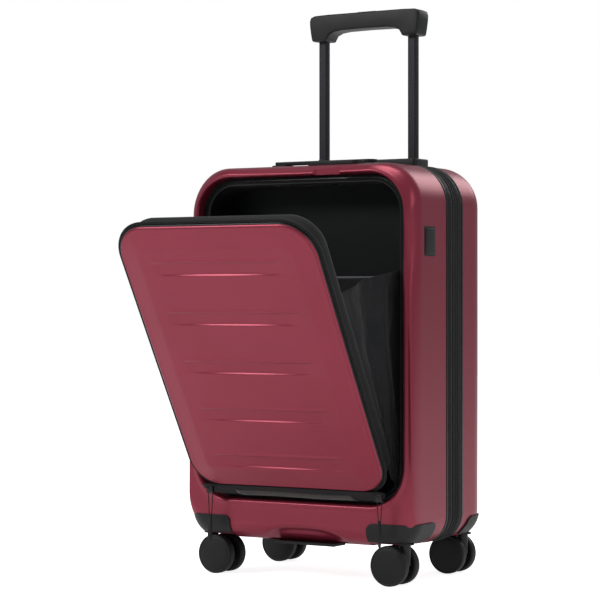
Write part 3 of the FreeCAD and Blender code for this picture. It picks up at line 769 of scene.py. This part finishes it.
def sleeve():
    look = {"front": -76.0, "tucked": -62.0, "top": 400.0}
    shape = (0.1485, 0.1140, 0.5290, 0.040, 0.040)

    def depthAt(x, z):
        inside = (edgeDistance(x, z, lidShape) / mm - 14.0) / 16.0
        inside = np.clip(inside, 0, 1)
        return look["tucked"] + (look["front"] - look["tucked"]) * inside * inside * (3 - 2 * inside)

    x, z, faces = gridPatch(shape, 90, np.linspace(shape[1], look["top"] * mm, 100))
    points = np.column_stack([x.ravel(), np.zeros(x.size), z.ravel()])
    points[:, 1] = depthAt(points[:, 0], points[:, 2]) * mm
    high = np.clip((look["top"] * mm - points[:, 2]) / (60 * mm), 0, 1)
    edge = np.clip((0.1485 - np.abs(points[:, 0])) / (25 * mm), 0, 1)
    folds = np.abs(roughen(points * np.array([1, 1, 0.5]), 16.0, 3.0 * mm, 31.0))
    points[:, 1] += folds * edge * (0.3 + 0.7 * high)
    upturn = np.clip((np.abs(points[:, 0]) - 0.125) / 0.0235, 0, 1) ** 2
    points[:, 2] += 4 * mm * upturn * (points[:, 2] > 0.396)
    panel = makeMesh("laptopSleeveCloth", points, faces, gussetCloth, None)
    thicken(panel, 2.4)
    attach(panel, "front_half")
    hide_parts("laptop_sleeve")
    route = []
    for x in (-147, -138, -125, -80, 0, 80, 125, 138, 147):
        y = float(depthAt(np.array([x * mm]), np.array([look["top"] * mm]))[0])
        rise = 4 * max(0.0, (abs(x) - 125) / 23.5) ** 2
        route.append((x * mm, y * mm - 0.4 * mm, (look["top"] + 0.4 + rise) * mm))
    tubeCurve("sleeveBinding", route, 1.7, lightTape, "front_half")


def opened(x, y, z):
    return lidPlace @ Vector((x * mm, y * mm, z * mm))


def gussets():
    look = {"x": 148.4, "rows": 70, "turns": 48, "fold": 8.0, "behind": 20.0, "narrow": 5.0}
    hinge = Vector(lidHinge["pos_m"])
    for side, label in ((-1, "Left"), (1, "Right")):
        points = []
        for i in range(look["turns"] + 1):
            part = i / look["turns"]
            for k in range(look["rows"] + 1):
                t = k / look["rows"]
                rear = Vector((0, -84.0 * mm, (122 + 288 * t) * mm))
                front = opened(0, lidFace / mm + 8 + look["behind"], 142 + 270 * t)
                r = (rear - hinge).length * (1 - part) + (front - hinge).length * part
                place = rear.lerp(front, part)
                place = hinge + (place - hinge).normalized() * ((place - hinge).length * 0.5 + r * 0.5)
                crease = math.sin(part * math.pi)
                wave = math.sin(part * math.pi * 4.2 + 0.9 * math.sin(t * 7.0) + side * 0.6)
                small = noise.noise(Vector((part * 4.0, t * 7.0, side * 5.0)))
                fine = noise.noise(Vector((part * 16.0, t * 9.0, side * 3.0)))
                folds = 0.6 + 0.4 * wave + 0.6 * small + 0.25 * fine
                inward = look["fold"] * mm * crease * folds * min(1.0, t * 4 + 0.2)
                x = side * (look["x"] * mm - look["narrow"] * mm * part - inward)
                points.append((x, place.y, place.z))
        faces = gridFaces(look["turns"], look["rows"])
        cloth = makeMesh("sideGusset" + label, points, faces, gussetCloth, None)
        thicken(cloth, 0.7)
        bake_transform(cloth)
        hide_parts("side_gussets")


def hingeStrip():
    low = Vector((0, -92.5 * mm, 109.5 * mm))
    high = opened(0, lidFace / mm + 5.5, 134.6)
    rows, columns = 14, 90

    def spot(x, t, lift):
        belly = -2.6 * mm * math.sin(math.pi * t) * (1 + 0.3 * math.sin(x * 40))
        base = low.lerp(high, t)
        return (x, base.y + belly * 0.4, base.z + belly + lift * mm)

    points = []
    for i in range(rows + 1):
        t = i / rows
        half = (118 + 23 * min(1.0, t * 1.3)) * mm
        points += [spot(half * (2 * j / columns - 1), t, 0) for j in range(columns + 1)]
    cloth = makeMesh("lidHingeCloth", points, gridFaces(rows, columns), bandCloth, None)
    tape = [spot(90 * mm * (j / 20 - 1), 0.15 + 0.6 * i / 6, -1.2) for i in range(7) for j in range(41)]
    strip = makeMesh("hingeTape", tape, gridFaces(6, 40), greyTape, None)
    for obj, thick in ((cloth, 1.2), (strip, 0.8)):
        thicken(obj, thick)
        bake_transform(obj)
    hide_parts("lid_hinge_strip")


frontShell()
rearShell()
print("stage: shells")
lidPanel()
lidRim()
zipBand()
print("stage: lid and band")
compartment()
sleeve()
gussets()
hingeStrip()
print("stage: compartment")


def guardPrism(corners, radius, axis, low, high):
    shape = bmesh.new()
    ring = []
    for a, b in corners:
        place = (a, low, b) if axis == "Y" else (low, a, b)
        ring.append(shape.verts.new([c * mm for c in place]))
    shape.faces.new(ring)
    shape.verts.ensure_lookup_table()
    bmesh.ops.bevel(shape, geom=list(shape.verts), offset=radius * mm, segments=8, profile=0.5,
                    affect="VERTICES", clamp_overlap=True)
    made = bmesh.ops.extrude_face_region(shape, geom=list(shape.faces))
    grow = Vector((0, (high - low) * mm, 0)) if axis == "Y" else Vector(((high - low) * mm, 0, 0))
    for item in made["geom"]:
        if isinstance(item, bmesh.types.BMVert):
            item.co += grow
    bmesh.ops.recalc_face_normals(shape, faces=shape.faces)
    mesh = bpy.data.meshes.new("prism")
    shape.to_mesh(mesh)
    shape.free()
    obj = bpy.data.objects.new("prism", mesh)
    bpy.context.scene.collection.objects.link(obj)
    return obj


def halfSolid(name, first, last, radius, proud):
    rings = []
    steps = 14
    sign = 1 if last > first else -1
    for y in np.linspace(last, first + sign * radius, 6):
        rings.append(ringAt(outline(case, -proud), y))
    for k in range(1, steps + 1):
        a = math.pi / 2 * k / steps
        rings.append(ringAt(outline(case, -proud + radius * (1 - math.cos(a))),
                            first - sign * proud + sign * (radius) * (1 - math.sin(a))))
    solid = loft(name, rings, satinAbs, None)
    n = len(rings[0])
    work = bmesh.new()
    work.from_mesh(solid.data)
    work.verts.ensure_lookup_table()
    work.faces.new([work.verts[j] for j in range(n)])
    work.faces.new([work.verts[(len(rings) - 1) * n + j] for j in range(n)])
    bmesh.ops.recalc_face_normals(work, faces=work.faces)
    work.to_mesh(solid.data)
    work.free()
    return solid


def cornerGuards():
    look = {"low": 56.3, "high": 81.0, "proud": 2.0, "inner": 106.0, "side": 42.0, "slant": 12.0,
            "round": 9.5, "far": 240, "deep": 200, "under": 20}
    for node, body, first, last, radius, sign in (
            ("front_corner_guards", "front_half", frontPlane, -36 * mm, frontRound, -1),
            ("rear_corner_guards", "rear_half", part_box("rear_shell")[1][1], 36 * mm, 44 * mm, 1)):
        for side in (-1, 1):
            name = node + ("Left" if side < 0 else "Right")
            guard = halfSolid(name, first, last, radius, look["proud"] * mm)
            a, b = side * look["inner"], side * look["far"]
            low, high = look["low"], look["high"]
            bottom = low - look["under"]
            square = [(a, bottom), (b, bottom), (b, high), (a, high)]
            faceOn = guardPrism(square, look["round"], "Y", -look["deep"], look["deep"])
            a, b = sign * look["side"], sign * look["far"]
            slanted = [(a, low), (b, low), (b, high), (a + max(0, sign) * look["slant"], high)]
            sideOn = guardPrism(slanted, look["round"] * 0.8, "X", -look["far"], look["far"])
            for tool in (faceOn, sideOn):
                applyModifier(guard, "BOOLEAN", {"operation": "INTERSECT", "object": tool, "solver": "EXACT"})
                bpy.data.objects.remove(tool)
            removeLoose(guard)
            applyModifier(guard, "BEVEL", {"width": 0.6 * mm, "segments": 2, "limit_method": "ANGLE",
                                           "angle_limit": math.radians(50), "use_clamp_overlap": True})
            sharpen(guard, 40)
            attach(guard, body)
            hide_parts(node)
            plates = {"Side": (103.5, 150.0, 33.8, 48.0), "Inner": (103.5, 110.0, 33.8, 84.0)}
            for part, (nearX, farX, nearY, farY) in plates.items():
                xs = sorted((side * nearX, side * farX))
                ys = sorted((sign * nearY, sign * farY))
                boxPiece(guard.name + "Plate" + part, (xs[0], ys[0], 54.3), (xs[1], ys[1], 57.5),
                         0.4, satinAbs, body)


def casters():
    tread = [(2.9, -5.2), (2.9, -6.0), (9.0, -6.0), (10.0, -4.4), (19.5, -4.4), (20.5, -6.0), (24.4, -6.0),
             (25.8, -5.4), (26.4, -4.2), (26.5, -2.5), (26.5, 2.5), (26.4, 4.0), (25.7, 5.2), (24.4, 5.8),
             (23.6, 5.5), (23.2, 5.2), (22.8, 5.5), (21.5, 5.9), (16.0, 6.4), (8.0, 6.8), (0.2, 6.9)]
    for corner in ("front_left", "front_right", "rear_left", "rear_right"):
        softened("caster_fork_" + corner, "caster_" + corner, satinAbs, 0.8, 3)
        for which in ("outer", "inner"):
            node = "caster_wheel_" + corner + "_" + which
            low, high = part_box(node)
            centre = (Vector(low) + Vector(high)) / 2
            out = 1 if which == "outer" else -1
            if corner.startswith("front"):
                out = -out
            wheel = lathe("wheelDisc_" + corner + "_" + which, tread, centre, (0, out, 0), polyurethane,
                          "wheel_" + corner + "_" + which)
            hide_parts(node)


def trolley():
    for node in ("inner_tubes", "middle_tubes", "outer_tubes"):
        paint(nodes[node], tubeMetal)
    low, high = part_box("grip")
    half, top, foot = high[0] / mm, high[2] / mm, low[2] / mm
    side = [(0, top), (half - 28, top), (half - 8, top - 0.7), (half - 2, top - 3), (half, top - 8),
            (half - 0.4, top - 16), (half - 2.2, top - 28), (half - 4, foot), (half - 28, foot),
            (half - 28.6, foot + 3), (half - 32, foot + 8.5), (half - 40, foot + 12),
            (half - 52, foot + 13.5), (0, foot + 14)]
    ring = side + [(-x, z) for x, z in side[-2:0:-1]]
    n = len(ring)
    verts = [(x * mm, y, z * mm) for y in (low[1], high[1]) for x, z in ring]
    faces = [(k, (k + 1) % n, n + (k + 1) % n, n + k) for k in range(n)]
    faces += [tuple(range(n)), tuple(n + k for k in range(n))[::-1]]
    grip = makeMesh("gripMoulding", verts, faces, satinAbs, None)
    applyModifier(grip, "BEVEL", {"width": 5.5 * mm, "segments": 6, "limit_method": "ANGLE",
                                  "angle_limit": math.radians(60), "use_clamp_overlap": True})
    buttonLow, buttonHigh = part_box("grip_button")
    slot = [[c / mm for c in buttonLow], [c / mm for c in buttonHigh]]
    cutWith(grip, [roundedBox((slot[0][0] - 0.4, slot[0][1] - 0.4, slot[0][2] - 5.0),
                              (slot[1][0] + 0.4, slot[1][1] + 0.4, slot[1][2] + 3.0), 0)])
    sharpen(grip, 40)
    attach(grip, "trolley_inner")
    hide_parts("grip")
    softened("grip_button", "grip_button", glossNylon, 0.5, 3)
    softened("trolley_bezel", "rear_half", satinAbs, 1.5, 4)
    paint(nodes["trolley_foot"], satinAbs)


def topPieces():
    softened("carry_handle", "carry_handle", satinAbs, 1.4, 4)
    softened("handle_mounts", "front_half", satinAbs, 1.2, 3)
    softened("lock_housing", "front_half", satinAbs, 0.6, 3)
    softened("lock_button", "lock_button", sliderMetal, 0.6, 3)
    for i in (1, 2, 3):
        node = "lock_dial_" + str(i)
        low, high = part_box(node)
        centre = (Vector(low) + Vector(high)) / 2
        verts = []
        steps = 60
        profile = [(1.6, -2.5), (6.4, -2.5), (7.0, -1.9), (7.0, 1.9), (6.4, 2.5), (1.6, 2.5)]
        for radius, reach in profile:
            for k in range(steps):
                a = 2 * math.pi * k / steps
                r = radius - (0.35 if radius == 7.0 and k % 6 == 0 else 0.0)
                verts.append(centre + Vector((reach, r * math.cos(a), r * math.sin(a))) * mm)
        faces = ringFaces(steps, len(profile), len(profile))
        dial = makeMesh("lockDialWheel" + node[-1], verts, faces, glossNylon, node)
        sharpen(dial, 40)
        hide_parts(node)
    softened("socket_housing", "front_half", satinAbs, 0.3, 2)
    softened("socket_flap", "socket_flap", softTpu, 0.7, 4)
    low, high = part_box("socket_flap")
    frameLow = Vector(low) / mm + Vector((0, 2.4, 2.4))
    frameHigh = Vector(high) / mm - Vector((0, 2.4, 2.4))
    boxPiece("socketFlapPad", (frameHigh.x - 1.0, frameLow.y, frameLow.z),
             (frameHigh.x + 0.9, frameHigh.y, frameHigh.z), 0.8, softTpu, "socket_flap")
    for node in ("main_slider_left", "main_slider_right", "expander_slider"):
        softened(node, node, sliderMetal, 0.5, 3)
    softened("lid_sliders", "front_half", sliderMetal, 0.5, 3)
    paint(nodes["scuff_plate"], satinAbs)


def pullTab(name, x, y, top, bottom, material, lean, turned):
    look = {"topWidth": 5.0, "lowWidth": 7.6, "thick": 3.4, "rows": 14, "steps": 24}
    verts = []
    for i in range(look["rows"] + 1):
        t = i / look["rows"]
        z = top + (bottom - top) * t
        swell = math.sin(math.pi * min(1.0, max(0.0, t * 1.02))) ** 0.28 if 0 < t < 1 else 0.25
        half = (look["topWidth"] + (look["lowWidth"] - look["topWidth"]) * t) / 2 * swell
        deep = look["thick"] / 2 * swell
        for k in range(look["steps"]):
            a = 2 * math.pi * k / look["steps"]
            c, d = math.cos(a), math.sin(a)
            u = half * math.copysign(abs(c) ** 0.6, c)
            v = deep * math.copysign(abs(d) ** 0.6, d)
            if turned:
                u, v = v, u
            verts.append(((x + u + lean * t) * mm, (y + v) * mm, z * mm))
    n = look["steps"]
    faces = ringFaces(n, look["rows"])
    faces.append(tuple(range(n))[::-1])
    faces.append(tuple(look["rows"] * n + k for k in range(n)))
    return makeMesh(name, verts, faces, material, "front_half")


def cords():
    sizes = {"radius": 0.6, "spread": 3.6, "bend": 1.3, "y": -124.1, "top": 111.5}
    for label, x, drop, lean, turned in (("Left", -124.5, 30.5, -1.5, False),
                                         ("Right", 137.0, 24.5, 0.0, True)):
        y = sizes["y"]
        b, s = sizes["bend"], sizes["spread"]
        foot = sizes["top"] - drop - 6 - b
        points = [(x - s, y, sizes["top"]), (x - b - 0.15, y, foot + 2 * b), (x - b, y, foot),
                  (x + b, y, foot), (x + b + 0.15, y, foot + 2 * b), (x + s, y, sizes["top"])]
        points = [tuple(c * mm for c in p) for p in points]
        cord = tubeCurve("pullCord" + label, points, sizes["radius"], cordBraid, "front_half")
        tab = pullTab("pullTab" + label, x, y, foot + 8, foot - 28, softTpu, lean, turned)
        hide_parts("pull_tubes")
        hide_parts("pull_cords")


def rearInside():
    low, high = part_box("rear_lining")
    shape = (0.1715, low[2] + 0.5 * mm, high[2] - 0.5 * mm, 0.051, 0.034)
    flat = 75.4 * mm
    rings = [ringAt(outline(shape, inset * mm), y * mm) for inset, y in
             ((0.0, 34.2), (0.3, 45), (0.6, 58), (1.2, 68), (3.0, 73.0), (6.0, 75.4))]
    wall = loft("rearLiningWall", rings, liningCloth, None)
    thicken(wall, 0.6)
    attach(wall, "rear_half")
    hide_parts("rear_lining")
    inner = (0.1655, shape[1] + 6 * mm, shape[2] - 6 * mm, 0.045, 0.028)
    back = fabricPatch("rearLiningBack", inner, flat, 1.0, 70, 90, 40.0)
    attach(back, "rear_half")
    softened("packing_straps", "rear_half", bandCloth, 0.3, 1)
    softened("strap_buckle", "rear_half", satinAbs, 1.0, 3)
    strip = nodes["side_hinge_strip"]
    paint(strip, bandCloth)


cornerGuards()
casters()
trolley()
topPieces()
cords()
rearInside()
print("stage: hardware")
finishes = (polycarbonate, satinAbs, glossNylon, softTpu, tubeMetal, sliderMetal, bandCloth)
finishNames = [m.name for m in finishes]
for obj in nodes.values():
    if not obj.data.materials or obj.data.materials[0].name.split(".")[0] not in finishNames:
        paint(obj, satinAbs)


def studio():
    look = {"floor": "#F2F2F2", "background": "#FFFFFF"}
    scene = bpy.context.scene
    scene.view_settings.view_transform = "Standard"
    world = bpy.data.worlds.new("studioWorld")
    scene.world = world
    world.use_nodes = True
    tree = world.node_tree
    tree.nodes.clear()
    path = add(tree, "ShaderNodeLightPath")
    seen = add(tree, "ShaderNodeMath", {"operation": "MAXIMUM"},
               {0: path.outputs["Is Camera Ray"], 1: path.outputs["Is Transmission Ray"]})
    soft = add(tree, "ShaderNodeBackground", {"Color": linear("#E8ECF0"), "Strength": 0.34})
    white = add(tree, "ShaderNodeBackground", {"Color": linear(look["background"]), "Strength": 1.0})
    mix = add(tree, "ShaderNodeMixShader", {}, {0: seen.outputs["Value"], 1: soft.outputs["Background"],
                                               2: white.outputs["Background"]})
    add(tree, "ShaderNodeOutputWorld", {}, {"Surface": mix.outputs["Shader"]})
    bpy.ops.mesh.primitive_plane_add(size=14, location=(0, 0, 0))
    floor = bpy.context.object
    floor.name = "studioFloor"
    material, tree, _ = startMaterial("paleFloor")
    path = add(tree, "ShaderNodeLightPath")
    diffuse = add(tree, "ShaderNodeBsdfDiffuse", {"Color": linear(look["floor"])})
    glow = add(tree, "ShaderNodeEmission", {"Color": linear(look["background"]), "Strength": 0.85})
    dim = add(tree, "ShaderNodeEmission", {"Color": linear(look["background"]), "Strength": 0.28})
    lifted = add(tree, "ShaderNodeAddShader", {}, {0: diffuse.outputs["BSDF"], 1: dim.outputs["Emission"]})
    both = add(tree, "ShaderNodeAddShader", {}, {0: diffuse.outputs["BSDF"], 1: glow.outputs["Emission"]})
    mix = add(tree, "ShaderNodeMixShader", {}, {0: path.outputs["Is Camera Ray"], 1: lifted.outputs["Shader"],
                                               2: both.outputs["Shader"]})
    add(tree, "ShaderNodeOutputMaterial", {}, {"Surface": mix.outputs["Shader"]})
    floor.data.materials.append(material)
    lamps = {"key": ((-2.0, -3.2, 2.4), 1.1, 58.0), "side": ((3.2, -0.6, 1.6), 1.4, 13.0),
             "back": ((0.6, 3.2, 2.2), 1.6, 22.0), "top": ((0.0, -0.4, 3.4), 1.6, 44.0)}
    for name, (spot, size, power) in lamps.items():
        light = bpy.data.lights.new(name + "Light", "AREA")
        light.size = size
        light.energy = power
        lamp = bpy.data.objects.new(name + "Light", light)
        lamp.location = spot
        aim = Vector((0, 0, 0.35)) - Vector(spot)
        lamp.rotation_euler = aim.to_track_quat("-Z", "Y").to_euler()
        scene.collection.objects.link(lamp)
    camera = bpy.data.cameras.new("viewCamera")
    camera.lens = 132.1
    camera.sensor_width = 36.0
    camera.clip_end = 30.0
    eye = bpy.data.objects.new("viewCamera", camera)
    eye.location = (1.537, -2.579, 0.371)
    eye.rotation_euler = (math.radians(90), 0, math.radians(31.763))
    scene.collection.objects.link(eye)
    scene.camera = eye


studio()
print("stage: studio")
